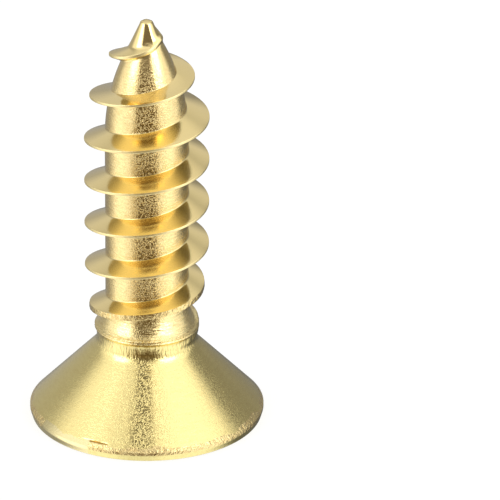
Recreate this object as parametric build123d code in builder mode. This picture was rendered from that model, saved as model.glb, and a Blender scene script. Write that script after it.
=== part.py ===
from build123d import *

import os
from math import atan2, ceil, cos, radians, sin, sqrt, tan

# Countersunk wood screw, one solid. The origin is the centre of the head's flat face,
# the screw stands on that face and +Z runs up the shank to the point. Sizes are in mm.

# ---- Driving dimensions: the whole screw -----------------------------------------------
screw_length = 11.95  # flat face of the head to the end of the point
thread_diameter = 3.5  # over the crests
core_diameter = 2.34  # between the turns of the thread

# ---- Driving dimensions: head ----------------------------------------------------------
head_diameter = 6.66
head_angle = 88.0  # included angle of the countersink
rim_height = 0.27  # plain band round the head, between the face and the countersink
rim_rounding = 0.06  # edge between the face and the rim

# ---- Driving dimensions: collar under the head -----------------------------------------
neck_diameter = 2.76  # where the countersink and the collar would meet in a sharp corner
neck_fillet = 0.36
collar_diameter = 2.97  # over the lip, where the rolling dies stopped
collar_height = 0.49  # from the neck to the top of the lip
lip_height = 0.10  # plain band below the top of the lip
lip_step = 0.055  # from the lip in to the foot of the shoulder
shoulder_height = 0.64  # from the lip to the core, which the shoulder runs into

# ---- Driving dimensions: thread --------------------------------------------------------
thread_pitch = 1.2735
flank_angle = 40.0  # included angle between the flanks
crest_flat = 0.05
thread_bearing = -44.0  # where the thread's helix crosses the plane of the face, in degrees
runout_diameter = 3.26  # over the crest of the last turn, which the rolling doesn't fill
runout_turns = 0.5  # length of that low crest
runout_rise_turns = 0.5  # from the low crest up to the full one
runout_fade_turns = 0.85  # from the low crest down into the collar
runout_end_diameter = 2.74  # over the crest where it is lost inside the collar
ridge_sink = 0.16  # how deep the ridge's foot lies inside the core

# ---- Driving dimensions: gimlet point --------------------------------------------------
point_length = 3.45  # length over which the core tapers
nib_length = 0.68  # pinched end of the point
nib_diameter = 0.92  # at the foot of the nib
tip_diameter = 0.30  # at the blunt end
crest_taper_length = 2.63  # length over which the crests close in on the point
crest_taper_angle = 44.0  # included angle of the cone that those crests lie on
thread_start = 0.27  # first rise of the thread, below the end of the point
lead_in_turns = 0.60  # over which the thread rises to its full depth
cleft_width = 0.13  # seam that the rolling leaves down one side of the nib
cleft_depth = 0.09
cleft_length = 0.55
cleft_bearing = -84.0  # side of the nib that the seam is on, in degrees

# ---- Driving dimensions: cross recess --------------------------------------------------
recess_span = 4.10  # across two opposite wings, at the mouth
wing_width = 0.91  # at the mouth
wing_draft = 9.0  # slope of the side walls
wing_corner_radius = 0.46  # between neighbouring wings
wing_end_angle = 26.5  # slope of the end walls, from the axis
wing_end_depth = 0.50  # foot of the end walls, where the floors of the wings begin
recess_pit_diameter = 0.96  # pit that the floors run down to
recess_floor_depth = 1.48  # depth at the edge of the pit
recess_depth = 1.86  # bottom of the pit

# ---- Worked out ------------------------------------------------------------------------
head_radius = head_diameter / 2
neck_radius = neck_diameter / 2
collar_radius = collar_diameter / 2
core_radius = core_diameter / 2
thread_radius = thread_diameter / 2
runout_radius = runout_diameter / 2
runout_end_radius = runout_end_diameter / 2
nib_radius = nib_diameter / 2
tip_radius = tip_diameter / 2

neck_z = rim_height + (head_radius - neck_radius) / tan(radians(head_angle / 2))
lip_z = neck_z + collar_height
core_start_z = lip_z + shoulder_height
point_start_z = screw_length - point_length
nib_z = screw_length - nib_length
crest_taper_z = screw_length - crest_taper_length

# The core tapers along an arc that leaves its cylinder tangentially and ends at the nib.
ogive_rise = nib_z - point_start_z
ogive_inset = core_radius - nib_radius
ogive_radius = (ogive_rise**2 + ogive_inset**2) / (2 * ogive_inset)

# Places along the thread are counted in turns of its helix up from the plane of the face.
end_turn = neck_z / thread_pitch
start_turn = (screw_length - thread_start) / thread_pitch
sections_per_turn = 12


def ramp(value, start, end):
    """How far value lies along the way from start to end, held between 0 and 1."""
    return max(0.0, min(1.0, (value - start) / (end - start)))


def core_radius_at(z):
    """Radius of the core, the point and the nib at height z."""
    if z <= point_start_z:
        return core_radius
    if z <= nib_z:
        return core_radius - ogive_radius + sqrt(ogive_radius**2 - (z - point_start_z) ** 2)
    return nib_radius + ramp(z, nib_z, screw_length) * (tip_radius - nib_radius)


def full_crest_radius_at(turn):
    """Radius at which the flanks leave a crest of the plain width."""
    z = turn * thread_pitch
    taper = max(0.0, z - crest_taper_z) * tan(radians(crest_taper_angle / 2))
    lead_in = ramp(turn, start_turn, start_turn - lead_in_turns)
    return core_radius_at(z) + lead_in * (thread_radius - taper - core_radius_at(z))


def runout_crest_radius_at(turn):
    """Radius that the run-out holds the crest down to."""
    low_turn = end_turn + runout_fade_turns
    fade = ramp(turn, end_turn, low_turn)
    rise = ramp(turn, low_turn + runout_turns, low_turn + runout_turns + runout_rise_turns)
    low_radius = runout_end_radius + fade * (runout_radius - runout_end_radius)
    return low_radius + rise * (thread_radius - low_radius)


# ---- Blank: head, collar, core and point, turned about the axis ------------------------
with BuildPart() as wood_screw:
    with BuildSketch(Plane.XZ) as blank:
        with BuildLine():
            face = Line((0, 0), (head_radius - rim_rounding, 0))
            face_edge = JernArc(face @ 1, (1, 0), rim_rounding, 90)
            rim = Line(face_edge @ 1, (head_radius, rim_height))
            countersink = Line(rim @ 1, (neck_radius, neck_z))
            collar = Line(countersink @ 1, (collar_radius, lip_z - lip_height))
            lip = Line(collar @ 1, (collar_radius, lip_z))
            ledge = Line(lip @ 1, (collar_radius - lip_step, lip_z))
            core = Line((core_radius, core_start_z), (core_radius, point_start_z))
            shoulder = TangentArc(core @ 0, ledge @ 1, tangent=(0, -1))
            ogive = TangentArc(core @ 1, (nib_radius, nib_z), tangent=(0, 1))
            nib = Line(ogive @ 1, (tip_radius, screw_length))
            Polyline(nib @ 1, (0, screw_length), (0, 0))
        make_face()
        fillet(blank.vertices().sort_by_distance((neck_radius, neck_z))[0], neck_fillet)
        chamfer(blank.vertices().sort_by_distance((tip_radius, screw_length))[0], tip_radius / 2)
    revolve(axis=Axis.Z)

# ---- Thread: a right-hand ridge, lofted turn by turn through sections in axial planes --
with BuildPart() as thread:
    turn_count = ceil(start_turn - end_turn)
    section_count = turn_count * sections_per_turn
    for first_section in range(0, section_count, sections_per_turn):
        for section in range(first_section, first_section + sections_per_turn + 1):
            turn = end_turn + (start_turn - end_turn) * section / section_count
            bearing = radians(thread_bearing + 360 * turn)
            axial_plane = Plane(
                origin=(0, 0, turn * thread_pitch),
                x_dir=(cos(bearing), sin(bearing), 0),
                z_dir=(sin(bearing), -cos(bearing), 0),
            )
            full_radius = full_crest_radius_at(turn)
            crest_radius = min(full_radius, runout_crest_radius_at(turn))
            foot_radius = core_radius_at(turn * thread_pitch) - ridge_sink
            flank_slope = tan(radians(flank_angle / 2))
            crest_half = crest_flat / 2 + (full_radius - crest_radius) * flank_slope
            foot_half = crest_half + (crest_radius - foot_radius) * flank_slope
            with BuildSketch(axial_plane):
                Polygon(
                    (foot_radius, -foot_half),
                    (crest_radius, -crest_half),
                    (crest_radius, crest_half),
                    (foot_radius, foot_half),
                    align=None,
                )
        loft()

# ---- Cleft: a V-groove that follows the nib's side down from the tip -------------------
with BuildPart() as cleft:
    nib_slope = atan2(nib_radius - tip_radius, nib_length)
    side = radians(cleft_bearing)
    across_nib = Plane(
        origin=(tip_radius * cos(side), tip_radius * sin(side), screw_length),
        x_dir=(-sin(side), cos(side), 0),
        z_dir=(sin(nib_slope) * cos(side), sin(nib_slope) * sin(side), -cos(nib_slope)),
    )
    with BuildSketch(across_nib.offset(-tip_diameter)):
        Polygon(
            (0, -cleft_depth),
            (cleft_width, cleft_depth),
            (-cleft_width, cleft_depth),
            align=None,
        )
    extrude(amount=tip_diameter + cleft_length)

# ---- Cross recess: a turned punch with four flutes milled into it ----------------------
with BuildPart() as punch:
    wing_reach = recess_span + wing_width
    for wing_size in ((wing_reach, wing_width), (wing_width, wing_reach)):
        with BuildSketch():
            Rectangle(*wing_size)
        extrude(amount=recess_depth, taper=wing_draft)
    mid_depth = Vertex(0, 0, recess_depth / 2)
    wing_walls = punch.edges().filter_by(Plane.XY, reverse=True)
    fillet(wing_walls.sort_by(lambda wall: wall.distance_to(mid_depth))[:4], wing_corner_radius)
    with BuildSketch(Plane.XZ):
        with BuildLine():
            wing_foot = recess_span / 2 - wing_end_depth * tan(radians(wing_end_angle))
            Polyline(
                (0, 0),
                (recess_span / 2, 0),
                (wing_foot, wing_end_depth),
                (recess_pit_diameter / 2, recess_floor_depth),
                (0, recess_depth),
                close=True,
            )
        make_face()
    revolve(axis=Axis.Z, mode=Mode.INTERSECT)

# ---- The finished screw ----------------------------------------------------------------
with wood_screw:
    add(thread.part)
    add(cleft.part, mode=Mode.SUBTRACT)
    add(punch.part, mode=Mode.SUBTRACT)

wood_screw.part.label = "wood_screw"

os.makedirs("parts", exist_ok=True)
export_step(wood_screw.part, "parts/wood_screw.step")
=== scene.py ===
"""Countersunk wood screw in brass, standing on its head in a light tent.

The screw is one piece of metal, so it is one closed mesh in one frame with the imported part.
Sizes are in millimetres until a mesh is handed to Blender, which works in metres.
"""

from __future__ import annotations

import logging
import math
from dataclasses import dataclass, field
from enum import Enum
from typing import Any, Union

import bmesh
import bpy
import numpy as np
from mathutils import Euler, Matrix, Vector, noise


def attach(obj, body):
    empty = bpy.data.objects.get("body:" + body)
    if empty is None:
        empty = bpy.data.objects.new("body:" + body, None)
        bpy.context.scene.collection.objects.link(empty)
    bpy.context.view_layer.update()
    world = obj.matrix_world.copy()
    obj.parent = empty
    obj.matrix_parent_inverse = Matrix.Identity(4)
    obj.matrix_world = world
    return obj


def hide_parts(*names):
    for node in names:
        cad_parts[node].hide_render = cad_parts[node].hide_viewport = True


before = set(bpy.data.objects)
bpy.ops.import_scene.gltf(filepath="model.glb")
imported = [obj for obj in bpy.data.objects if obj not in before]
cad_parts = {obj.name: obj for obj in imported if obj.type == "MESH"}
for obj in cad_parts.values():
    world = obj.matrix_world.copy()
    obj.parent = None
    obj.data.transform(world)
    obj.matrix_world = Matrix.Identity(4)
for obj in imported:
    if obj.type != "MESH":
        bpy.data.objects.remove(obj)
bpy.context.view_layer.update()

log = logging.getLogger("wood_screw")

MM = 0.001  # one millimetre in Blender's metres
WELD = 1.0e-4  # points closer than this, in mm, are one point
COLUMNS = 144  # points round the axis on every ring and every turn
BEARINGS = np.arange(COLUMNS) * (2 * math.pi / COLUMNS)
ROWS = 64  # faces across one pitch of the thread, from mid-root to mid-root
SHARP = 38.0  # degrees between two faces from which the edge between them stays sharp


# ---- Small helpers ---------------------------------------------------------------------


def add_node(
    tree: bpy.types.NodeTree,
    kind: str,
    inputs: dict[Union[int, str], Any] | None = None,
    **settings: Any,
) -> bpy.types.Node:
    """Adds a node to a tree with its settings, values and links.

    Args:
        tree: The node tree that gets the node.
        kind: Blender's name for the node's type.
        inputs: A value, a node, an output socket or a Field for each input, by index or name.
        **settings: Properties of the node itself, such as operation.

    Returns:
        The new node.
    """
    node = tree.nodes.new(kind)
    for name, value in settings.items():
        setattr(node, name, value)
    for key, value in (inputs or {}).items():
        source = value.socket if isinstance(value, Field) else value
        if isinstance(source, bpy.types.Node):
            source = source.outputs[0]
        if isinstance(source, bpy.types.NodeSocket):
            tree.links.new(source, node.inputs[key])
        else:
            node.inputs[key].default_value = source
    return node


Number = Union[float, "Field"]


@dataclass(frozen=True)
class Field:
    """A number that varies over a mesh or a direction, written as a formula in a node tree."""

    tree: bpy.types.NodeTree
    socket: bpy.types.NodeSocket

    def math(self, operation: str, *values: Number, **settings: Any) -> Field:
        """Returns this field after one step of arithmetic with other values.

        Args:
            operation: Blender's name for the step.
            *values: The other values, in the order of the node's inputs.
            **settings: Further properties of the node.

        Returns:
            The result as a field.
        """
        inputs = dict(enumerate((self, *values)))
        node = add_node(self.tree, "ShaderNodeMath", inputs, operation=operation, **settings)
        return Field(self.tree, node.outputs[0])

    def __add__(self, other: Number) -> Field:
        """Returns the sum."""
        return self.math("ADD", other)

    def __radd__(self, other: Number) -> Field:
        """Returns the sum of a plain number and this field."""
        return self + other

    def __sub__(self, other: Number) -> Field:
        """Returns the difference."""
        return self.math("SUBTRACT", other)

    def __rsub__(self, other: Number) -> Field:
        """Returns the difference of a plain number and this field."""
        return self.math("MULTIPLY", -1.0) + other

    def __mul__(self, other: Number) -> Field:
        """Returns the product."""
        return self.math("MULTIPLY", other)

    def __truediv__(self, other: Number) -> Field:
        """Returns the quotient."""
        return self.math("DIVIDE", other)

    def ramp(self, start: Number, end: Number) -> Field:
        """Returns how far this value lies from start to end, held between 0 and 1."""
        return (self - start).math("DIVIDE", end - start, use_clamp=True)

    def ease(self) -> Field:
        """Returns a ramp from 0 to 1 with soft ends."""
        return self * self * (3.0 - self * 2.0)

    def toward(self, other: Number, share: Field) -> Field:
        """Returns a value that share of the way from this one to another."""
        return self + (self * -1.0 + other) * share


def linear(colour: str) -> tuple[float, float, float, float]:
    """Turns an sRGB hex colour into the linear one that shaders take.

    Args:
        colour: Six hex digits after a hash.

    Returns:
        Red, green, blue and an alpha of 1.
    """
    shares = (int(colour[i : i + 2], 16) / 255 for i in (1, 3, 5))
    red, green, blue = (
        s / 12.92 if s <= 0.04045 else ((s + 0.055) / 1.055) ** 2.4 for s in shares
    )
    return red, green, blue, 1.0


# ---- Finishes --------------------------------------------------------------------------


class Zone(Enum):
    """The surfaces of the screw, each made by one tool. Values are material slots."""

    CORE = 0
    FLANK = 1
    CREST = 2
    CONE = 3
    RIM = 4
    FACE = 5
    RECESS = 6
    NIB = 7
    TORN_CREST = 8
    TORN_RIM = 9
    RUBBED = 10
    NECK = 11
    COLLAR = 12
    CRACK = 13


PIT_SHADE_LEVELS = (0.56, 0.36)  # of the skin's height: below the first a pit starts to take its painted shade
FLECK_WIDTH = 0.06  # half width of a burr, as a share of the cloud that it is cut from
BLUR_CLOUD = 0.8  # mm over which the blur of the reflections wanders
BLUR_LEVELS = (0.3, 0.7)  # of that cloud: where the blur is least and where it is most


@dataclass(frozen=True)
class BrassFinish:
    """Brass as one tool leaves it.

    The real skin is rough over about 0.01 to 0.03 mm, which is too fine to show, so grain,
    lines and flecks are drawn two to six times as coarse.

    Attributes:
        name: What the surface is.
        colour: The metal in plain white light.
        pit_shade_colour: Painted shade in its pits, the warmer, darker colour of light bouncing
            twice.
        pit_shade_share: How far the deepest pits take that painted shade.
        roughness: Blur of its reflections.
        roughness_spread: How far the blur wanders either way.
        grain_size: Width of the pits and bumps of the skin, in mm.
        grain_height: Height of those, in mm.
        line_spacing: Distance between the fine lines round the axis, in mm.
        line_length: Length of one such line, in spacings.
        line_height: Height of those lines, in mm.
        lines_run_up: Whether the lines run up the screw instead.
        fleck_size: Distance between the worm-like burrs that glint, in mm.
        fleck_height: Height of those burrs, in mm.
        fleck_elsewhere: Share of that height away from the scuffed side.
        scuffed_side: Middle and half width of the scuffed side, as bearings.
        smooth_above: Heights on the screw between which all of these die away, in mm.
    """

    name: str
    colour: str = "#F7E0A0"
    pit_shade_colour: str = "#C79A4C"
    pit_shade_share: float = 0.6
    roughness: float = 0.16
    roughness_spread: float = 0.05
    grain_size: float = 0.06
    grain_height: float = 0.004
    line_spacing: float = 0.045
    line_length: float = 5.0
    line_height: float = 0.0
    lines_run_up: bool = False
    fleck_size: float = 0.07
    fleck_height: float = 0.0
    fleck_elsewhere: float = 1.0
    scuffed_side: tuple[float, float] = (-90.0, 18.0)
    smooth_above: tuple[float, float] | None = None

    def material(self) -> bpy.types.Material:
        """Builds the finish as a material on Object coordinates.

        Returns:
            The material.
        """
        made = bpy.data.materials.new(self.name)
        made.use_nodes = True
        tree = made.node_tree
        tree.nodes.clear()
        place = add_node(tree, "ShaderNodeTexCoord").outputs["Object"]

        # Grain, and fine lines drawn out by the tool.
        grain = self.cloud(place, self.grain_size, detail=3.0)
        stretch = 1 / self.line_length
        squash = (1.0, 1.0, stretch) if self.lines_run_up else (stretch, stretch, 1.0)
        along = add_node(tree, "ShaderNodeMapping", {"Vector": place, "Scale": squash})
        lines = self.cloud(along.outputs[0], self.line_spacing, detail=2.0)
        skin_height = grain * self.grain_height + lines * self.line_height
        level = skin_height / (self.grain_height + self.line_height)

        # Burrs, which stand where a second cloud crosses its middle.
        worms = (self.cloud(place, self.fleck_size, detail=2.0) - 0.5).math("ABSOLUTE")
        parts = add_node(tree, "ShaderNodeSeparateXYZ", {0: place})
        x, y, z = (Field(tree, parts.outputs[i]) for i in range(3))
        middle, half = (math.radians(angle) for angle in self.scuffed_side)
        away = (y.math("ARCTAN2", x) - middle).math("ABSOLUTE")
        scuffed = away.ramp(half * 1.5, half * 0.5).ease() * (1.0 - self.fleck_elsewhere)
        flecks = worms.ramp(FLECK_WIDTH, 0.0).ease() * (scuffed + self.fleck_elsewhere)
        skin_height = skin_height + flecks * self.fleck_height
        if self.smooth_above:
            start, end = (height * MM for height in self.smooth_above)
            rough = z.ramp(end, start)
            skin_height = skin_height * rough
            level = (level - 0.5) * rough + 0.5
        bump = add_node(
            tree, "ShaderNodeBump", {"Strength": 1.0, "Distance": MM, "Height": skin_height}
        )
        # Painted shade: the pits are mixed toward a darker, warmer colour, standing in for light
        # that bounces twice in them.
        tint = add_node(
            tree,
            "ShaderNodeMix",
            {
                0: level.ramp(*PIT_SHADE_LEVELS) * self.pit_shade_share,
                6: linear(self.colour),
                7: linear(self.pit_shade_colour),
            },
            data_type="RGBA",
        )
        cloud = self.cloud(place, BLUR_CLOUD, detail=3.0)
        blur = cloud.ramp(*BLUR_LEVELS) * (2 * self.roughness_spread)
        skin = add_node(
            tree,
            "ShaderNodeBsdfPrincipled",
            {
                "Base Color": tint.outputs[2],
                "Metallic": 1.0,
                "Roughness": blur + (self.roughness - self.roughness_spread),
                "Normal": bump,
            },
        )
        add_node(tree, "ShaderNodeOutputMaterial", {"Surface": skin})
        return made

    def cloud(self, place: bpy.types.NodeSocket, size: float, detail: float) -> Field:
        """Writes blotches of one size, as chance leaves them on worked metal.

        Args:
            place: Where the blotches are read.
            size: Their width, in mm.
            detail: How many finer layers they have.

        Returns:
            A value of about 0.5 on average.
        """
        tree = place.id_data
        settings = {"Vector": place, "Scale": 1 / (size * MM), "Detail": detail, "Roughness": 0.6}
        return Field(tree, add_node(tree, "ShaderNodeTexNoise", settings).outputs[0])


# All are one metal, common brass. Polished brass is a warm yellow, and how each tool left its
# surface sets how sharply it mirrors the tent.
# Each finish's pit share darkens its pits toward a warmer colour: painted shade from light bouncing
# twice.
FINISHES: dict[Zone, BrassFinish] = {
    # Rolled between dies: fine rings round the core, and burrs that glint where it faces front.
    # Toward the point the dies polish it smooth.
    Zone.CORE: BrassFinish(
        "brass_rolled_core",
        colour="#F7DFA0",
        pit_shade_share=0.25,
        roughness=0.11,
        grain_height=0.003,
        line_height=0.007,
        fleck_size=0.075,
        fleck_height=0.003,
        fleck_elsewhere=0.5,
        scuffed_side=(-85.0, 22.0),
        smooth_above=(10.2, 11.6),
    ),
    # Burnished by the dies as the metal flows up them: nearly a mirror, so it doubles the core.
    Zone.FLANK: BrassFinish(
        "brass_burnished_flank", roughness=0.13, grain_height=0.0006, pit_shade_share=0.0
    ),
    # Left free by the dies: matt, and painted paler than the core as a painted highlight, which
    # with its real sheen makes a light thread round each turn.
    Zone.CREST: BrassFinish(
        "brass_rolled_crest", colour="#FCE9AC", roughness=0.4, grain_height=0.006, pit_shade_share=0.0
    ),
    # Cold-headed, then tumbled: soft satin, with a scuffed strip at the front.
    Zone.CONE: BrassFinish(
        "brass_tumbled_cone",
        colour="#F7E49C",
        pit_shade_share=0.12,
        roughness=0.1,
        grain_height=0.0012,
        line_height=0.002,
        line_length=8.0,
        fleck_size=0.08,
        fleck_height=0.003,
        fleck_elsewhere=0.35,
        scuffed_side=(-92.0, 12.0),
    ),
    # Trimmed by the header: satin, a little paler than the cone.
    Zone.RIM: BrassFinish(
        "brass_trimmed_rim", colour="#F9EAA0", roughness=0.15, grain_height=0.004, pit_shade_share=0.2
    ),
    # Pressed flat against the punch: even and softly blurred.
    Zone.FACE: BrassFinish(
        "brass_pressed_face", colour="#FCE9AE", roughness=0.3, grain_height=0.0006, pit_shade_share=0.0
    ),
    # Punched cold: crinkled, so that it glitters inside a deep amber, which is partly painted shade
    # in its pits.
    Zone.RECESS: BrassFinish(
        "brass_punched_recess", roughness=0.14, grain_height=0.008, fleck_height=0.003
    ),
    # Pinched off and polished by the dies: sharp, bright reflections.
    Zone.NIB: BrassFinish(
        "brass_pinched_nib", roughness=0.12, grain_height=0.0008, pit_shade_share=0.0
    ),
    # Not filled by the rolling: torn, so that it sparkles.
    Zone.TORN_CREST: BrassFinish(
        "brass_torn_crest", roughness=0.1, grain_height=0.03, grain_size=0.09, pit_shade_share=0.5
    ),
    # Sheared where the die halves met: coarse, torn and sparkling.
    Zone.TORN_RIM: BrassFinish(
        "brass_torn_rim", roughness=0.1, grain_height=0.035, grain_size=0.1, pit_shade_share=0.35
    ),
    # Rubbed against other screws: a smooth, pale facet.
    Zone.RUBBED: BrassFinish(
        "brass_rubbed_facet", colour="#FAEAB0", roughness=0.12, grain_height=0.003, pit_shade_share=0.1
    ),
    # Gripped by the header: short strokes that run up it.
    Zone.NECK: BrassFinish(
        "brass_gripped_neck",
        colour="#F7E49C",
        pit_shade_share=0.2,
        roughness=0.12,
        grain_height=0.004,
        line_height=0.02,
        line_spacing=0.07,
        lines_run_up=True,
    ),
    # Rolled by the ends of the dies: rings, coarser than on the core.
    Zone.COLLAR: BrassFinish(
        "brass_rolled_collar",
        colour="#F7E2A4",
        pit_shade_share=0.25,
        roughness=0.12,
        grain_height=0.003,
        line_height=0.014,
        line_length=12.0,
        fleck_height=0.0015,
    ),
    # Opened by the heading: painted a dark brown, standing in for the shade down in the crack, so
    # that it reads as a brown hair.
    Zone.CRACK: BrassFinish(
        "brass_crack_painted_shade", colour="#B08C50", roughness=0.3, grain_height=0.008, pit_shade_share=0.5
    ),
}


# ---- Meshes ----------------------------------------------------------------------------


@dataclass
class Skin:
    """Rings of points from the bottom of the recess out and up, with a zone between rings."""

    rings: list[np.ndarray] = field(default_factory=list)
    zones: list[np.ndarray] = field(default_factory=list)

    def add(self, ring: np.ndarray, zone: Zone | np.ndarray) -> None:
        """Adds a ring, and names the zone, or one for each column, below it."""
        if self.rings:
            value = zone.value if isinstance(zone, Zone) else zone
            self.zones.append(np.broadcast_to(value, COLUMNS))
        self.rings.append(ring)

    def turned(
        self, radius: float | np.ndarray, height: float, zone: Zone | np.ndarray
    ) -> None:
        """Adds a ring of one radius, or of one for each column, at that height."""
        flat = radius * np.cos(BEARINGS), radius * np.sin(BEARINGS)
        self.add(np.stack([*flat, np.full(COLUMNS, height)], 1), zone)

    def faces(self) -> tuple[np.ndarray, np.ndarray]:
        """Joins the rings.

        Returns:
            The four corners of each face, and each face's zone.
        """
        column = np.arange(COLUMNS)
        following = (column + 1) % COLUMNS
        first = np.stack([column, following, following + COLUMNS, column + COLUMNS], 1)
        corners = [first + index * COLUMNS for index in range(len(self.zones))]
        return np.concatenate(corners), np.concatenate(self.zones)


@dataclass
class CrossRecess:
    """The cross recess that the punch leaves in the head's face."""

    span: float = 4.10
    wing_width: float = 0.91
    wing_draft: float = 9.0
    corner_radius: float = 0.46
    end_angle: float = 26.5
    end_depth: float = 0.50
    pit_diameter: float = 0.96
    floor_depth: float = 1.48
    depth: float = 1.86
    end_columns: int = 5  # of the 18 columns in an eighth of the outline
    rings: tuple[int, int, int] = (7, 22, 12)  # up the pit, the floors and the end walls
    crease: float = 0.05  # how far the punch drags the walls out of true
    crease_waves: tuple[tuple[float, float], ...] = ((4.5, 1.0), (13.0, 0.4))  # per mm, and share
    crease_fade: float = 0.25  # depth below which the creases have their full height
    crease_core: float = 0.3  # radius within which they stop moving sideways

    def reach(self, depth: float) -> float:
        """Returns how far the wings reach from the axis at a depth."""
        foot = self.span / 2 - self.end_depth * math.tan(math.radians(self.end_angle))
        depths = (0.0, self.end_depth, self.floor_depth, self.depth)
        return float(np.interp(depth, depths, (self.span / 2, foot, self.pit_diameter / 2, 0.0)))

    def eighth(self, depth: float) -> np.ndarray:
        """Traces an eighth of the outline at a depth, from a wing's middle to the diagonal.

        Args:
            depth: Depth below the face.

        Returns:
            Points in the plane, one for each column and one to close.
        """
        reach = self.reach(depth)
        half = self.wing_width / 2 - depth * math.tan(math.radians(self.wing_draft))
        centre = half + self.corner_radius
        total = COLUMNS // 8

        # The side wall, finely: straight along the wing, then round the corner.
        turn = np.linspace(-math.pi / 2, -3 * math.pi / 4, 60)
        arc = centre + self.corner_radius * np.stack([np.cos(turn), np.sin(turn)], 1)
        straight = np.stack([np.linspace(self.span, centre, 200), np.full(200, half)], 1)
        side = np.concatenate([straight[:-1], arc])

        # Where it lies inside the wing's end, both share the columns. Else the end is a circle.
        distance = np.hypot(side[:, 0], side[:, 1])
        inside = np.flatnonzero(distance < reach)
        if reach > 0 and inside.size:
            first = inside[0]
            share = (reach - distance[first]) / (distance[first - 1] - distance[first])
            corner = side[first] + share * (side[first - 1] - side[first])
            side = np.concatenate([[corner], side[first:]])
            bend = math.atan2(corner[1], corner[0])
            angles = np.linspace(0, bend, self.end_columns + 1)[:-1]
            end = reach * np.stack([np.cos(angles), np.sin(angles)], 1)
            length = np.concatenate([[0], np.cumsum(np.hypot(*np.diff(side, axis=0).T))])
            places = np.linspace(0, length[-1], total - self.end_columns + 1)
            walls = np.stack([np.interp(places, length, side[:, i]) for i in (0, 1)], 1)
            return np.concatenate([end, walls])
        angles = np.linspace(0, math.pi / 4, total + 1)
        return reach * np.stack([np.cos(angles), np.sin(angles)], 1)

    def outline(self, depth: float) -> np.ndarray:
        """Traces the whole outline at a depth.

        Args:
            depth: Depth below the face.

        Returns:
            A ring of points at that height, from the +X wing's middle round.
        """
        eighth = self.eighth(depth)
        mirrored = eighth[::-1, ::-1]
        quarter = np.concatenate([eighth[:-1], mirrored[:-1]])
        turns = [quarter]
        for _ in range(3):
            turns.append(np.stack([-turns[-1][:, 1], turns[-1][:, 0]], 1))
        flat = np.concatenate(turns)
        return np.column_stack([flat, np.full(len(flat), depth)])

    def build(self, skin: Skin) -> None:
        """Adds the recess to the screw's skin, from the bottom of the pit to the face."""
        stops = (self.depth, self.floor_depth, self.end_depth, 0.0)
        stretches = [
            np.linspace(start, end, count)[:-1]
            for start, end, count in zip(stops, stops[1:], self.rings)
        ]
        for depth in (*np.concatenate(stretches), 0.0):
            skin.add(self.creased(self.outline(float(depth)), float(depth)), Zone.RECESS)

    def creased(self, ring: np.ndarray, depth: float) -> np.ndarray:
        """Creases a ring of the walls as the punch drags them, and leaves the mouth true.

        Args:
            ring: Points round the recess at one depth.
            depth: That depth below the face.

        Returns:
            The points, moved.
        """
        reach = self.crease * min(depth / self.crease_fade, 1.0)
        pulls = sum(
            share * np.array([noise.noise_vector(Vector(point) * rate) for point in ring])
            for rate, share in self.crease_waves
        )
        sideways = np.minimum(np.hypot(ring[:, 0], ring[:, 1]) / self.crease_core, 1.0)
        return ring + reach * pulls * np.stack([sideways, sideways, np.ones(len(ring))], 1)


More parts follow.
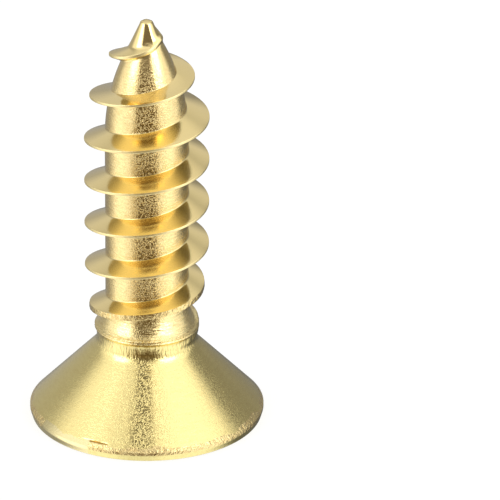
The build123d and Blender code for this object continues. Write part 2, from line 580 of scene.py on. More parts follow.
@dataclass
class CountersunkHead:
    """The flat head: face, rim, countersink and the neck above it."""

    diameter: float = 6.66
    angle: float = 88.0
    rim_height: float = 0.27
    rim_rounding: float = 0.07
    rim_bend: float = 75.0  # degrees that the edge under the rim turns through
    rim_lean: float = 0.05  # how far the rim's foot lies in from its upper edge
    torn_foot: float = 0.18  # height at which that lean ends and the torn edge starts
    torn_rise: float = 0.11  # how far the torn edge runs up the countersink, on average
    torn_waver: float = 0.1  # how far that wavers
    torn_waves: float = 6.0  # how often it wavers
    wear_top: float = 0.5  # height that it never reaches above
    rubbed_sector: tuple[float, float] = (205.0, 240.0)  # bearings of a facet rubbed smooth
    rubbed_rise: float = 0.05  # how far above the torn edge the facet runs
    crack_z: float = 0.40
    crack_depth: float = 0.03
    crack_bearing: float = 243.5  # of its middle
    crack_reach: float = 5.0  # half of its length, in degrees
    neck_diameter: float = 2.84
    neck_blend: float = 0.15  # over which the countersink runs into the neck
    recess: CrossRecess = field(default_factory=CrossRecess)

    # Rings of points over each stretch, with the ones at its ends.
    face_rings: int = 9
    edge_rings: int = 5
    rim_rings: int = 5
    cracked_rings: int = 12
    cone_rings: int = 30
    neck_rings: int = 14

    @property
    def neck_z(self) -> float:
        """Height at which the countersink meets the neck."""
        run = (self.diameter - self.neck_diameter) / 2
        return self.rim_height + run / math.tan(math.radians(self.angle / 2))

    def countersink_radius(self, z: float) -> float:
        """Returns the countersink's radius at a height."""
        slope = math.tan(math.radians(self.angle / 2))
        return self.neck_diameter / 2 + (self.neck_z - z) * slope

    def neck_radius(self, z: float) -> float:
        """Returns the radius where the countersink runs into the neck, blended."""
        cone, neck = self.countersink_radius(z), self.neck_diameter / 2
        overlap = max(self.neck_blend - abs(cone - neck), 0.0) / self.neck_blend
        return max(cone, neck) + overlap * overlap * self.neck_blend / 4

    def build(self, skin: Skin, top: float) -> None:
        """Adds the head to the screw's skin.

        Args:
            skin: The skin so far, which this starts with the recess.
            top: Height of the last ring, on the neck.
        """
        self.recess.build(skin)
        self.face(skin)
        self.rim(skin)
        self.cracked_edge(skin)
        blend_z = self.neck_z - self.neck_blend
        for height in np.linspace(self.wear_top, blend_z, self.cone_rings):
            skin.turned(self.countersink_radius(height), height, Zone.CONE)
        for height in np.linspace(blend_z, top, self.neck_rings)[1:]:
            zone = Zone.NECK if height > self.neck_z else Zone.CONE
            skin.turned(self.neck_radius(height), height, zone)

    def face(self, skin: Skin) -> None:
        """Adds the flat face, from the recess's mouth out."""
        mouth = skin.rings[-1]
        flat = self.diameter / 2 - self.rim_rounding
        edge = np.stack([flat * np.cos(BEARINGS), flat * np.sin(BEARINGS), 0 * BEARINGS], 1)
        for share in np.linspace(0, 1, self.face_rings)[1:]:
            skin.add(mouth + (edge - mouth) * share, Zone.FACE)

    def rim(self, skin: Skin) -> None:
        """Adds the rounded edge and the rim, whose lower part leans in."""
        radius = self.diameter / 2
        rounding = self.rim_rounding - self.rim_lean
        for bend in np.radians(np.linspace(0, self.rim_bend, self.edge_rings)[1:]):
            reach = radius - self.rim_rounding + rounding * math.sin(bend)
            skin.turned(reach, rounding * (1 - math.cos(bend)), Zone.RIM)
        for height in np.linspace(rounding, self.torn_foot, self.rim_rings):
            lean = self.rim_lean * (self.torn_foot - height) / (self.torn_foot - rounding)
            skin.turned(radius - lean, height, self.worn(0.0))
        for height in np.linspace(self.torn_foot, self.rim_height, self.rim_rings)[1:-1]:
            skin.turned(radius, height, self.worn(height))

    def cracked_edge(self, skin: Skin) -> None:
        """Adds the foot of the countersink, with the hairline crack that the heading opened."""
        beside = np.abs(np.degrees(BEARINGS) - self.crack_bearing) / self.crack_reach
        heights = np.linspace(self.rim_height, self.wear_top, self.cracked_rings)[:-1]
        cracked = np.argmin(np.abs(heights - self.crack_z))
        for index, height in enumerate(heights):
            radii = np.full(COLUMNS, self.countersink_radius(height))
            zones = self.worn(height)
            if index == cracked:
                radii -= np.clip(1.5 - beside, 0.0, 1.0) * self.crack_depth
                # The crack's columns take a dark brown finish: painted shade down in the crack.
                zones = np.where(beside < 1.0, Zone.CRACK.value, zones)
            skin.turned(radii, height, zones)

    def worn(self, height: float) -> np.ndarray:
        """Chooses the finish round the rim: trimmed, torn along its edge, rubbed on one side.

        Args:
            height: Height above the face.

        Returns:
            A zone's value for each column.
        """
        bearings = np.arange(COLUMNS) * (360 / COLUMNS)
        circle = np.stack([np.cos(BEARINGS), np.sin(BEARINGS)], 1) * self.torn_waves
        waver = np.array([noise.noise((x, y, 3.0)) for x, y in circle]) * self.torn_waver
        torn_top = self.rim_height + self.torn_rise + waver
        zones = np.where(height > torn_top, Zone.CONE.value, Zone.TORN_RIM.value)
        zones = np.where(height < self.torn_foot, Zone.RIM.value, zones)
        rubbed = (bearings > self.rubbed_sector[0]) & (bearings < self.rubbed_sector[1])
        rubbed &= height < torn_top + self.rubbed_rise
        return np.where(rubbed, Zone.RUBBED.value, zones)


@dataclass(frozen=True)
class Ridge:
    """The thread's ridge on one side of its middle, as formulas along its helix."""

    middle_z: Field
    slope: Field  # how fast the ridge widens toward the core
    begun: Field  # 0 at the thread's start, 1 where it has its full depth
    half_flat: Field  # half the width of a full crest
    full: Field  # radius of the crest if the rolling had filled it
    crest: Field  # radius that the crest has
    height: Field  # from the core up to the crest


@dataclass
class ThreadedShank:
    """Collar, core, thread and gimlet point, as one skin wound along the helix."""

    length: float = 11.95
    thread_diameter: float = 3.5
    core_diameter: float = 2.34
    pitch: float = 1.2735
    bearing: float = -44.0  # where the thread's helix crosses the plane of the face
    flank_angle: float = 44.0
    flank_lean: float = 2.0  # how much flatter than half of that the flank on the head's side is
    point_flank_drop: float = 13.0  # how much flatter the other flank is on the point
    point_flank_rise: tuple[float, float] = (8.9, 9.9)  # heights over which it becomes so
    point_flank_fall: tuple[float, float] = (10.5, 10.9)  # and over which it ends
    crest_flat: float = 0.07
    crest_rounding: float = 0.03
    root_fillet: float = 0.05

    # The run-out: the last turn, which the rolling doesn't fill.
    thread_end_z: float = 2.289
    runout_start_diameter: float = 2.74
    runout_diameter: float = 3.26
    runout_turns: float = 0.5
    runout_rise_turns: float = 0.5
    runout_fade_turns: float = 0.85
    crest_tear: float = 0.05  # how ragged the unfilled crest is
    tear_rate: float = 14.0  # tears per mm
    unfilled_gap: tuple[float, float] = (0.02, 0.1)  # mm short of full over which it turns torn
    torn_from: float = 0.3  # share of that way from which it has the torn crest's finish

    # Heights and diameters up the collar: neck, swell, lip left by the rolling, shoulder.
    collar_outline: tuple[tuple[float, float], ...] = (
        (2.42, 2.840), (2.50, 2.845), (2.58, 2.858), (2.64, 2.885),
        (2.675, 2.935), (2.700, 2.968), (2.722, 2.925), (2.742, 2.925),
        (2.760, 2.962), (2.780, 2.945), (2.798, 2.870), (2.825, 2.825),
        (2.90, 2.700), (3.01, 2.585), (3.13, 2.480), (3.26, 2.390),
        (3.42, 2.340),
    )
    lip_z: float = 2.755  # about which the rows are gathered, to show the lip
    lip_reach: float = 0.07
    lip_gather: float = 0.7
    lip_rise: float = 0.03  # how much higher the collar is at the front than at the sides
    neck_top: float = 2.665  # up to which the neck's strokes run
    blend_in: float = 0.08  # height over which the ridge rises out of the collar's foot

    # The gimlet point.
    point_length: float = 3.45
    crest_taper_length: float = 2.63
    crest_taper_angle: float = 44.0
    thread_start: float = 0.27
    lead_in_turns: float = 0.60
    lead_in_softness: float = 0.28  # extra fillet where the thread starts
    lead_in_rounding: float = 0.1  # extra rounding of the crest there
    lead_in_droop: float = 0.09  # how far the thread's start sags below its helix
    droop_z: tuple[float, float] = (10.3, 10.95)
    lead_in_bluntness: float = 0.02  # extra width of the first crest
    blunt_z: tuple[float, float] = (10.6, 11.1)
    nib_length: float = 0.68
    nib_diameter: float = 0.92
    nib_foot: float = 11.2  # above which the metal is polished
    tip_diameter: float = 0.30
    tip_dome: float = 0.07
    cleft_bearing: float = -84.0
    cleft_top: tuple[float, float] = (11.86, 0.001)  # height and depth
    cleft_foot: tuple[float, float] = (11.42, 0.022)
    cleft_end: float = 0.06  # height over which the cleft ends at its foot
    bulge: tuple[float, float] = (11.46, -5.0)  # height and bearing of the swelling on the nib
    bulge_reach: tuple[float, float] = (0.11, 42.0)
    bulge_rise: float = 0.07

    # Rows of faces from the ridge's middle to the crest's edge, into the fillet and past it.
    crest_rows: int = 3
    flank_rows: int = 13
    foot_rows: int = 17
    low_ridge: tuple[float, float] = (0.04, 0.2)  # heights over which rows gather on a ridge
    dressed_ridge: float = 0.06  # height from which a ridge has flanks and a crest of its own

    @property
    def collar_foot_z(self) -> float:
        """Height at which the head ends and the shank starts."""
        return self.collar_outline[0][0]

    @property
    def core_foot_z(self) -> float:
        """Height at which the shoulder ends and the core starts."""
        return self.collar_outline[-1][0]

    @property
    def sizes(self) -> dict[str, float]:
        """The sizes that set the thread, by the name of the tree's input for each."""
        return {
            "Pitch": self.pitch,
            "Thread Radius": self.thread_diameter / 2,
            "Core Radius": self.core_diameter / 2,
            "Flank Angle": math.radians(self.flank_angle),
            "Crest Flat": self.crest_flat,
            "Crest Rounding": self.crest_rounding,
            "Root Fillet": self.root_fillet,
            "Length": self.length,
            "Thread End Height": self.thread_end_z,
            "Run-out Radius": self.runout_diameter / 2,
            "Nib Radius": self.nib_diameter / 2,
            "Tip Radius": self.tip_diameter / 2,
        }

    def tree(self) -> bpy.types.NodeTree:
        """Builds the node tree that winds the skin of the shank along its helix.

        Each row of the grid keeps its place across the ridge, so that crest, flank and root
        stay sharp over the whole length. Above the point and below the collar the rows are
        held at the end heights, and the points that meet there are merged.

        Returns:
            The tree, whose inputs are the sizes that set the thread.
        """
        tree = bpy.data.node_groups.new("thread_wound_on_core", "GeometryNodeTree")
        for name in self.sizes:
            tree.interface.new_socket(name, in_out="INPUT", socket_type="NodeSocketFloat")
        tree.interface.new_socket("Skin", in_out="OUTPUT", socket_type="NodeSocketGeometry")
        inputs = add_node(tree, "NodeGroupInput")
        given = {name: Field(tree, inputs.outputs[name]) for name in self.sizes}

        # Each column of the grid is one step round the helix, and its rows cross one pitch.
        first_turn = -self.bearing / 360 + 1
        turns = math.ceil(self.length / self.pitch + 1.0 - first_turn)
        counts = {"Vertices X": turns * COLUMNS + 1, "Vertices Y": ROWS + 1}
        grid = add_node(tree, "GeometryNodeMeshGrid", counts)
        index = Field(tree, add_node(tree, "GeometryNodeInputIndex").outputs[0])
        row = index.math("FLOORED_MODULO", ROWS + 1.0)
        column = (index / (ROWS + 1.0)).math("FLOOR")
        bearing = column.math("FLOORED_MODULO", float(COLUMNS)) * (2 * math.pi / COLUMNS)
        across = row * (2.0 / ROWS) - 1.0
        share, side = across.math("ABSOLUTE"), across.math("SIGN")
        ridge = self.ridge(given, column / COLUMNS + first_turn, side)

        # The rows' heights: across the ridge, sagging at its start and gathered at the lip.
        droop = ridge.middle_z.ramp(*self.droop_z) * self.lead_in_droop
        spread = self.spread(given, ridge, share) * side
        path = ridge.middle_z + spread - droop * (1.0 - share)
        beside_lip = (path - self.lip_z) / self.lip_reach
        gathered = (beside_lip * beside_lip * -0.5).math("EXPONENT") * beside_lip
        path = path - gathered * (self.lip_reach * self.lip_gather)
        dome_start = given["Length"] - self.tip_dome
        dome_end = dome_start + self.tip_dome * 2
        held = path.math("MAXIMUM", self.collar_foot_z).math("MINIMUM", dome_end)
        body_z = held.math("MINIMUM", dome_start)
        dome = held.ramp(dome_start, dome_end) * (math.pi / 2)

        # The radius there: the core, the ridge on it and what is odd about the nib.
        lip_share = body_z.ramp(self.collar_foot_z, self.lip_z)
        lip_share = lip_share * body_z.ramp(self.core_foot_z, self.lip_z)
        core = self.core_radius(given, body_z + bearing.math("SINE") * lip_share * self.lip_rise)
        distance = (body_z - (ridge.middle_z - droop)).math("ABSOLUTE")
        flank = ridge.full - (distance - ridge.half_flat) / ridge.slope
        unfilled = (ridge.full - ridge.crest).ramp(*self.unfilled_gap)
        crest = ridge.crest + self.tear(bearing, ridge.middle_z) * unfilled * self.crest_tear
        starting = 1.0 - ridge.begun
        rounding = given["Crest Rounding"] + starting * self.lead_in_rounding
        rolled = flank.math("SMOOTH_MIN", crest, rounding)
        fillet = (ridge.height * 0.5).math("MINIMUM", given["Root Fillet"])
        blended = core.math("SMOOTH_MAX", rolled, fillet + starting * self.lead_in_softness)
        raised = core.toward(blended, (body_z - self.collar_foot_z).ramp(0.0, self.blend_in))
        radius = (raised + self.nib_change(body_z, bearing, raised)) * dome.math("COSINE")

        x, y = radius * bearing.math("COSINE"), radius * bearing.math("SINE")
        z = body_z + dome.math("SINE") * self.tip_dome
        place = add_node(tree, "ShaderNodeCombineXYZ", {0: x, 1: y, 2: z})
        shape = add_node(tree, "GeometryNodeSetPosition", {"Geometry": grid, "Position": place})
        for name, value in (("share", share), ("ridge", ridge.height), ("unfilled", unfilled)):
            kept = {"Geometry": shape, "Name": name, "Value": value}
            shape = add_node(tree, "GeometryNodeStoreNamedAttribute", kept)
        shape = add_node(tree, "GeometryNodeMergeByDistance", {"Geometry": shape, "Distance": WELD})
        self.dress(shape)
        return tree

    def ridge(self, given: dict[str, Field], turn: Field, side: Field) -> Ridge:
        """Writes the size of the thread's ridge along its helix.

        Args:
            given: The tree's inputs by name.
            turn: Turns of the helix up from the plane of the face.
            side: 1 on the side of the ridge toward the point, -1 on the other.

        Returns:
            The ridge on that side.
        """
        middle_z = turn * given["Pitch"]
        flat_point = middle_z.ramp(*self.point_flank_rise)
        flat_point = flat_point * middle_z.ramp(*reversed(self.point_flank_fall))
        lean = side * math.radians(self.flank_lean)
        lean = lean - flat_point * side.math("MAXIMUM", 0.0) * math.radians(self.point_flank_drop)
        slope = (lean + given["Flank Angle"] / 2.0).math("TANGENT")
        blunt = middle_z.ramp(*self.blunt_z) * self.lead_in_bluntness

        core = self.core_radius(given, middle_z)
        start_turn = (given["Length"] - self.thread_start) / given["Pitch"]
        begun = turn.ramp(start_turn, start_turn - self.lead_in_turns)
        taper_slope = math.tan(math.radians(self.crest_taper_angle / 2))
        past_taper = middle_z - (given["Length"] - self.crest_taper_length)
        taper = past_taper.math("MAXIMUM", 0.0) * taper_slope
        full = core + (given["Thread Radius"] - taper - core) * (begun * begun)

        end_turn = given["Thread End Height"] / given["Pitch"]
        low_turn = end_turn + self.runout_fade_turns
        rise_turn = low_turn + self.runout_turns
        rise = turn.ramp(rise_turn, rise_turn + self.runout_rise_turns)
        fade_start = self.runout_start_diameter / 2
        low = (given["Run-out Radius"] - fade_start) * turn.ramp(end_turn, low_turn) + fade_start
        crest = full.math("MINIMUM", low + (given["Thread Radius"] - low) * rise)
        return Ridge(
            middle_z=middle_z,
            slope=slope,
            begun=begun,
            half_flat=given["Crest Flat"] / 2.0 + blunt / 2.0,
            full=full,
            crest=crest,
            height=(crest - core).math("MAXIMUM", 0.0),
        )

    def spread(self, given: dict[str, Field], ridge: Ridge, share: Field) -> Field:
        """Writes how far each row lies from the ridge's middle.

        Args:
            given: The tree's inputs by name.
            ridge: The ridge.
            share: 0 on the row at the middle, 1 on the row half a pitch away.

        Returns:
            The distance along the axis.
        """
        crest_share, flank_share, foot_share = self.row_shares
        half_crest = ridge.half_flat + (ridge.full - ridge.crest) * ridge.slope
        foot = half_crest + ridge.height * ridge.slope
        above_foot = foot - given["Root Fillet"] * ridge.slope
        past_foot = foot + given["Root Fillet"] * ridge.slope
        shaped = (
            half_crest * share.ramp(0.0, crest_share)
            + (above_foot - half_crest) * share.ramp(crest_share, flank_share)
            + (past_foot - above_foot) * share.ramp(flank_share, foot_share)
            + (given["Pitch"] / 2.0 - past_foot) * share.ramp(foot_share, 1.0)
        )
        even = share * given["Pitch"] / 2.0
        return even.toward(shaped, ridge.height.ramp(*self.low_ridge))

    @property
    def row_shares(self) -> tuple[float, ...]:
        """The rows at the crest's edge, in the fillet and past it, as shares of half a pitch."""
        return tuple(2 * n / ROWS for n in (self.crest_rows, self.flank_rows, self.foot_rows))

    def dress(self, shape: bpy.types.Node) -> None:
        """Gives each surface of the wound skin its material, and ends the tree.

        Args:
            shape: The node that gives the skin, with its rows' attributes stored.
        """
        tree = shape.id_data
        shape = add_node(tree, "GeometryNodeRealizeInstances", {"Geometry": shape})
        share, height, unfilled = (
            Field(tree, add_node(tree, "GeometryNodeInputNamedAttribute", {"Name": n}).outputs[0])
            for n in ("share", "ridge", "unfilled")
        )
        where = add_node(tree, "GeometryNodeInputPosition")
        z = Field(tree, add_node(tree, "ShaderNodeSeparateXYZ", {0: where}).outputs[2])
        crest_share, _, foot_share = self.row_shares
        tall = height.math("GREATER_THAN", self.dressed_ridge)
        on_crest = tall * share.math("LESS_THAN", crest_share)
        # Each takes what it covers from the ones before it.
        chosen = {
            Zone.CORE: True,
            Zone.COLLAR: z.math("LESS_THAN", self.core_foot_z),
            Zone.NECK: z.math("LESS_THAN", self.neck_top),
            Zone.NIB: z.math("GREATER_THAN", self.nib_foot),
            Zone.FLANK: tall * share.math("LESS_THAN", foot_share - 1 / ROWS),
            Zone.CREST: on_crest,
            Zone.TORN_CREST: on_crest * unfilled.math("GREATER_THAN", self.torn_from),
        }
        for zone, covered in chosen.items():
            material = bpy.data.materials[FINISHES[zone].name]
            coat = {"Geometry": shape, "Selection": covered, "Material": material}
            shape = add_node(tree, "GeometryNodeSetMaterial", coat)
        add_node(tree, "NodeGroupOutput", {"Skin": shape})

    def tear(self, bearing: Field, z: Field) -> Field:
        """Writes the raggedness of a crest that the rolling didn't fill, about 0 on average."""
        tree = z.tree
        inputs = {0: bearing.math("COSINE"), 1: bearing.math("SINE"), 2: z}
        place = add_node(tree, "ShaderNodeCombineXYZ", inputs)
        rags = {"Vector": place, "Scale": self.tear_rate, "Detail": 3.0, "Roughness": 0.7}
        return Field(tree, add_node(tree, "ShaderNodeTexNoise", rags).outputs[0]) - 0.5

    def nib_change(self, z: Field, bearing: Field, radius: Field) -> Field:
        """Writes how the nib differs from a plain cone: its cleft and the swelling beside it.

        Args:
            z: Height on the screw.
            bearing: Bearing round the axis, in radians.
            radius: Radius before the change.

        Returns:
            What is added to the radius.
        """
        (top_z, top_depth), (foot_z, foot_depth) = self.cleft_top, self.cleft_foot
        depth = z.ramp(top_z, foot_z) * (foot_depth - top_depth) + top_depth
        facing = (bearing - math.radians(self.cleft_bearing)).math("COSINE")
        facet = (radius - depth) / facing.math("MAXIMUM", 0.5)
        cut = (radius - facet).math("MAXIMUM", 0.0) * z.ramp(foot_z - self.cleft_end, foot_z)
        height, side = self.bulge
        reach, spread = self.bulge_reach
        round_it = (bearing - math.radians(side)).math("COSINE").math("ARCCOSINE")
        round_it = (round_it / math.radians(spread)).math("POWER", 2.0)
        along_it = ((z - height) / reach).math("POWER", 2.0)
        swelling = ((along_it + round_it) * -1.0).math("EXPONENT") * self.bulge_rise
        return swelling - cut

    def core_radius(self, given: dict[str, Field], z: Field) -> Field:
        """Writes the radius of the collar, the core and the point as a formula.

        Args:
            given: The tree's inputs by name.
            z: Height on the screw.

        Returns:
            The radius at that height.
        """
        core, length = given["Core Radius"], given["Length"]
        rise = self.point_length - self.nib_length
        inset = core - given["Nib Radius"]
        bend = (inset * inset + rise * rise) / (inset * 2.0)
        along = (z - (length - self.point_length)).math("MAXIMUM", 0.0).math("MINIMUM", rise)
        ogive = core - bend + (bend * bend - along * along).math("SQRT")
        nib = (given["Tip Radius"] - given["Nib Radius"]) * z.ramp(length - self.nib_length, length)

        foot, top = self.collar_foot_z, self.core_foot_z
        swell = max(diameter for _, diameter in self.collar_outline) - self.core_diameter
        curve = add_node(z.tree, "ShaderNodeFloatCurve", {"Value": z.ramp(foot, top)})
        knots = curve.mapping.curves[0].points
        while len(knots) < len(self.collar_outline):
            knots.new(0.5, 0.5)
        for knot, (height, diameter) in zip(knots, self.collar_outline):
            knot.location = (height - foot) / (top - foot), (diameter - self.core_diameter) / swell
            knot.handle_type = "AUTO_CLAMPED"
        curve.mapping.update()
        return ogive + nib + Field(z.tree, curve.outputs[0]) * (swell / 2)

    def build(self) -> tuple[np.ndarray, list[tuple[int, ...]], list[int]]:
        """Winds the shank and reads its skin back.

        Returns:
            The points in mm, the corners of each face, and each face's zone.
        """
        tree = self.tree()
        carrier = bpy.data.objects.new("shank_blank", bpy.data.meshes.new("shank_blank"))
        bpy.context.scene.collection.objects.link(carrier)
        wound = carrier.modifiers.new("wind_thread", "NODES")
        wound.node_group = tree
        for item in tree.interface.items_tree:
            if item.in_out == "INPUT":
                wound[item.identifier] = self.sizes[item.name]
        graph = bpy.context.evaluated_depsgraph_get()
        mesh = bpy.data.meshes.new_from_object(carrier.evaluated_get(graph))
        carrier.modifiers.remove(wound)
        points = np.empty(len(mesh.vertices) * 3, dtype=np.float32)
        mesh.vertices.foreach_get("co", points)
        names = [m.name if m else "" for m in mesh.materials]
        zone_of = {FINISHES[zone].name: zone.value for zone in Zone}
        corners = [tuple(p.vertices) for p in mesh.polygons]
        zones = [zone_of[names[p.material_index]] for p in mesh.polygons]
        bpy.data.objects.remove(carrier)
        bpy.data.meshes.remove(mesh)
        return points.reshape(-1, 3).astype(float), corners, zones


@dataclass
class WoodScrew:
    """The whole screw: head and shank as one closed skin."""

    head: CountersunkHead = field(default_factory=CountersunkHead)
    shank: ThreadedShank = field(default_factory=ThreadedShank)

    def build(self) -> bpy.types.Object:
        """Builds the screw, welds it and dresses it.

        Returns:
            The finished piece.
        """
        for zone in Zone:
            FINISHES[zone].material()
        points, corners, zones = self.shank.build()
        skin = Skin()
        self.head.build(skin, self.shank.collar_foot_z)
        head_corners, head_zones = skin.faces()
        head_points = np.concatenate(skin.rings)
        offset = len(points)
        every_point = np.concatenate([points, head_points])
        every_corner = corners + [tuple(int(c) + offset for c in quad) for quad in head_corners]
        every_zone = zones + head_zones.tolist()
        mesh = bpy.data.meshes.new("wood_screw_brass")
        mesh.from_pydata((every_point * MM).tolist(), [], every_corner)
        for zone in Zone:
            mesh.materials.append(bpy.data.materials[FINISHES[zone].name])
        mesh.polygons.foreach_set("material_index", every_zone)
        self.weld(mesh)
        mesh.polygons.foreach_set("use_smooth", [True] * len(mesh.polygons))
        mesh.set_sharp_from_angle(angle=math.radians(SHARP))
        piece = bpy.data.objects.new("wood_screw_brass", mesh)
        bpy.context.scene.collection.objects.link(piece)
        return piece

    def weld(self, mesh: bpy.types.Mesh) -> None:
        """Merges the points that meet and drops the faces that have no area."""
        work = bmesh.new()
        work.from_mesh(mesh)
        bmesh.ops.remove_doubles(work, verts=work.verts, dist=WELD * MM)
        bmesh.ops.dissolve_degenerate(work, edges=work.edges, dist=WELD * MM)
        open_edges = sum(1 for edge in work.edges if len(edge.link_faces) != 2)
        log.info("open edges: %d, faces: %d", open_edges, len(work.faces))
        work.to_mesh(mesh)
        work.free()


# ---- Studio ----------------------------------------------------------------------------


@dataclass(frozen=True)
class Graded:
    """A value that changes from one part of the tent to the next."""

    start: float
    changes: tuple[tuple[float, float, float], ...] = ()  # where each starts, ends, its amount

    def at(self, place: Field) -> Number:
        """Writes the value at a place along an axis of the tent, which runs from -1 to 1."""
        return sum((place.ramp(a, b) * amount for a, b, amount in self.changes), self.start)


@dataclass(frozen=True)
class WallEdge:
    """An upright edge of a bright wall."""

    bearing: Graded  # degrees from the lens's side of the tent round to it, by height
    softness: Graded  # half the width of its soft band in degrees, by height

    def passed(self, bearing: Field, height: Field) -> Field:
        """Writes how far a bearing has passed the edge at a height, from 0 to 1."""
        middle, soft = self.bearing.at(height), self.softness.at(height)
        return bearing.ramp(middle - soft, middle + soft).ease()


@dataclass(frozen=True)
class Lamp:
    """A soft patch of light on the tent."""

    bearing: float  # degrees from the lens's side round to the right
    elevation: float
    reach: float  # cosine of the angle from its middle at which it ends
    strength: float  # what its middle adds to the tent's light
    core: float = 0.98  # cosine of the angle within which it has its full strength

    def spot(self, way: bpy.types.NodeSocket) -> Field:
        """Writes the light that the lamp adds in a direction."""
        bearing, elevation = math.radians(self.bearing), math.radians(self.elevation)
        flat = math.cos(elevation)
        aim = (flat * math.sin(bearing), -flat * math.cos(bearing), math.sin(elevation))
        both = {0: way, 1: aim}
        dot = add_node(way.id_data, "ShaderNodeVectorMath", both, operation="DOT_PRODUCT")
        facing = Field(way.id_data, dot.outputs["Value"])
        return facing.ramp(self.reach, self.core).ease() * self.strength


LOW = (-0.2, -0.35)  # heights at which the tent's low part starts and is complete
LEFT_WALL = (
    WallEdge(
        Graded(33.0, ((0.5, 0.88, -7.0), (*LOW, 4.0))),
        Graded(9.0, ((0.5, 0.88, 6.0), (*LOW, 9.0))),
    ),
    WallEdge(Graded(97.0, ((-0.8, -0.4, 14.0),)), Graded(14.0, ((*LOW, 8.0),))),
)
RIGHT_WALL = (
    WallEdge(Graded(31.0, ((0.2, 0.8, -19.0), (-0.45, -0.6, -17.0))), Graded(7.0)),
    WallEdge(Graded(110.0, ((-0.3, 0.5, -10.0), (*LOW, -13.0))), Graded(10.0, ((*LOW, 15.0),))),
)
WALL_LIGHT = Graded(1.15, ((0.3, 0.6, -0.14),))

# The slot shows as the dark band down the core, and its top as the dark one up the cone. Its
# foot is bright and shows on metal that leans down, such as the swell of the collar.
SLOT_TOP = ((0.3, 0.7, 0.12), (0.8, 0.88, -0.16), (0.915, 0.945, 0.28))
SLOT_LIGHT = Graded(0.16, (*SLOT_TOP, (-0.46, -0.68, 0.75), (*LOW, -0.04)))

# Behind the screw the tent is dim and shades both outlines, the right one more.
BACK_LIGHT = Graded(0.27, ((0.2, -0.2, 0.18),))  # from the right across to the left
BACK_LOW = Graded(0.0, ((*LOW, -0.13),))
BACK_TOP = Graded(0.25, ((0.5, 0.8, 0.6),))
BEHIND = (60.0, 110.0)  # degrees to either side over which the slot gives way to the back
STRIP_LIGHT = 0.7  # of a lighter strip in the middle of the back
STRIP = (135.0, 155.0)  # degrees to either side over which that fades in
STRIP_FOOT = (0.1, 0.35)  # and heights
FOOT = (-0.85, -0.95)  # heights over which the tent runs into its foot

WARMTH = Graded(0.25, ((0.8, -0.1, 0.75),))  # of the slot's light
WARM_FOOT = (-0.6, -0.45)  # heights below which it is white, and above which it is warm

# The bright pair gleams on the crests' upper edges and the point. The low pair brightens the
# bands down the core and the rim, and the high pair the sides of the cone.
LAMPS = (
    Lamp(-60.0, 27.0, 0.93, 2.0),
    Lamp(49.0, 25.0, 0.93, 2.0),
    Lamp(-80.0, -24.0, 0.92, 0.3),
    Lamp(66.0, -24.0, 0.92, 0.3),
    Lamp(62.0, 52.0, 0.7, 0.35),
    Lamp(-84.0, 44.0, 0.88, 0.12),
)


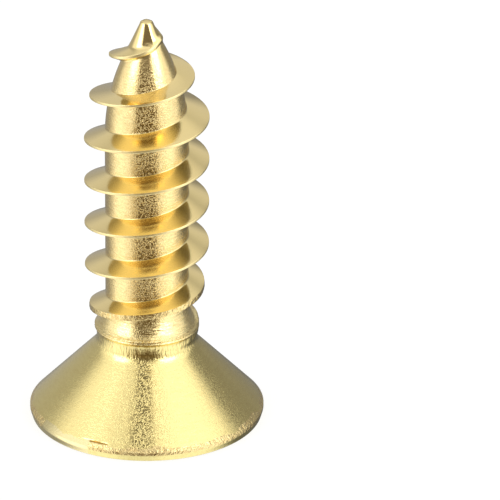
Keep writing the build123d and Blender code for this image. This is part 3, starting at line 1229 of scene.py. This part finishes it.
@dataclass
class Studio:
    """A light tent with a bright wall on each side and a slot for the lens between them."""

    floor_size: float = 1.0  # metres from the middle to each edge
    floor_matt: float = 0.25
    floor_glow: float = 0.77
    foot_light: float = 1.08  # of the tent's foot, which stands for the floor in reflections
    slot_tint: tuple[float, float, float] = (0.0, -0.27, -0.6)  # change of red, green and blue
    reference_height: float = 5.62  # mm up the axis that the lens was levelled on
    distance: float = 137.7
    elevation: float = 24.1
    aim_right: float = 2.90
    aim_down: float = 0.57
    roll: float = 0.5
    lens: float = 352.8

    def build(self) -> None:
        """Adds floor, light and camera."""
        self.floor()
        self.light()
        self.camera()

    def floor(self) -> None:
        """Lays a pale floor, which shows from above only."""
        size = self.floor_size
        corners = [(-size, -size, 0), (size, -size, 0), (size, size, 0), (-size, size, 0)]
        mesh = bpy.data.meshes.new("studio_floor")
        mesh.from_pydata(corners, [], [(0, 1, 2, 3)])
        floor = bpy.data.objects.new("studio_floor", mesh)
        bpy.context.scene.collection.objects.link(floor)
        card = bpy.data.materials.new("white_card")
        card.use_nodes = True
        tree = card.node_tree
        tree.nodes.clear()
        grey = (self.floor_matt, self.floor_matt, self.floor_matt, 1)
        matt = add_node(tree, "ShaderNodeBsdfDiffuse", {"Color": grey})
        white = {"Color": (1, 1, 1, 1), "Strength": self.floor_glow}
        glow = add_node(tree, "ShaderNodeEmission", white)
        lit = add_node(tree, "ShaderNodeAddShader", {0: matt, 1: glow})
        clear = add_node(tree, "ShaderNodeBsdfTransparent")
        behind = add_node(tree, "ShaderNodeNewGeometry").outputs["Backfacing"]
        both = add_node(tree, "ShaderNodeMixShader", {0: behind, 1: lit, 2: clear})
        add_node(tree, "ShaderNodeOutputMaterial", {"Surface": both})
        mesh.materials.append(card)
        floor.visible_glossy = False

    def light(self) -> None:
        """Paints the tent's light on the world by direction."""
        world = bpy.data.worlds.new("light_tent")
        bpy.context.scene.world = world
        world.use_nodes = True
        tree = world.node_tree
        tree.nodes.clear()
        way = add_node(tree, "ShaderNodeTexCoord").outputs["Generated"]
        parts = add_node(tree, "ShaderNodeSeparateXYZ", {0: way})
        x, y, z = (Field(tree, parts.outputs[i]) for i in range(3))
        azimuth = x.math("ARCTAN2", y * -1.0) * (180 / math.pi)
        side = azimuth.math("ABSOLUTE")
        walls = sum(
            inner.passed(bearing, z) * (1.0 - outer.passed(bearing, z))
            for (inner, outer), bearing in ((LEFT_WALL, azimuth * -1.0), (RIGHT_WALL, azimuth))
        )
        low_change = BACK_LOW.at(z)
        strip = side.ramp(*STRIP).ease() * z.ramp(*STRIP_FOOT)
        back = (BACK_LIGHT.at(x) + low_change).toward(STRIP_LIGHT, strip)
        back = back.math("MAXIMUM", BACK_TOP.at(z) + low_change)
        behind = side.ramp(*BEHIND).ease()
        strength = SLOT_LIGHT.at(z).toward(back, behind).toward(WALL_LIGHT.at(z), walls)
        strength = strength.toward(self.foot_light, z.ramp(*FOOT))
        for lamp in LAMPS:
            strength = strength + lamp.spot(way)

        # The slot's light is warm, most of all below the horizon, and deepens the dark band.
        warmth = (1.0 - walls) * (1.0 - behind) * WARMTH.at(z) * z.ramp(*WARM_FOOT)

        # The lens and the matt floor see an even white, and only reflections see the tent.
        path = add_node(tree, "ShaderNodeLightPath")
        seen = Field(tree, path.outputs["Is Camera Ray"])
        plain = seen.math("MAXIMUM", Field(tree, path.outputs["Is Diffuse Ray"]))
        strength = strength.toward(1.0, plain)
        warmth = warmth * (1.0 - plain)
        tints = {i: warmth * change + 1.0 for i, change in enumerate(self.slot_tint)}
        tint = add_node(tree, "ShaderNodeCombineColor", tints)
        tent = add_node(tree, "ShaderNodeBackground", {"Color": tint, "Strength": strength})
        add_node(tree, "ShaderNodeOutputWorld", {"Surface": tent})

    def camera(self) -> None:
        """Sets the camera up beside the screw and above it."""
        scene = bpy.context.scene
        data = bpy.data.cameras.new("studio_camera")
        data.lens = self.lens
        data.sensor_width = 36.0
        data.clip_start, data.clip_end = 0.01, 10.0
        camera = bpy.data.objects.new("studio_camera", data)
        scene.collection.objects.link(camera)
        tilt = math.radians(self.elevation)
        toward = Vector((0, math.cos(tilt), -math.sin(tilt)))
        up = Vector((0, math.sin(tilt), math.cos(tilt)))
        on_axis = Vector((0, 0, self.reference_height))
        camera.location = (on_axis - toward * self.distance) * MM
        aim = on_axis + Vector((self.aim_right, 0, 0)) - up * self.aim_down
        look = (aim * MM - camera.location).to_track_quat("-Z", "Y")
        camera.rotation_mode = "QUATERNION"
        camera.rotation_quaternion = look @ Euler((0, 0, math.radians(self.roll))).to_quaternion()
        scene.camera = camera
        scene.view_settings.view_transform = "Standard"


# ---- The scene -------------------------------------------------------------------------


def main() -> None:
    """Builds the screw and the studio."""
    logging.basicConfig(level=logging.INFO, format="%(name)s: %(message)s")
    piece = WoodScrew().build()
    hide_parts("wood_screw")
    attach(piece, "root")
    log.info("%s: %d faces", piece.name, len(piece.data.polygons))
    Studio().build()


if __name__ == "__main__":
    main()
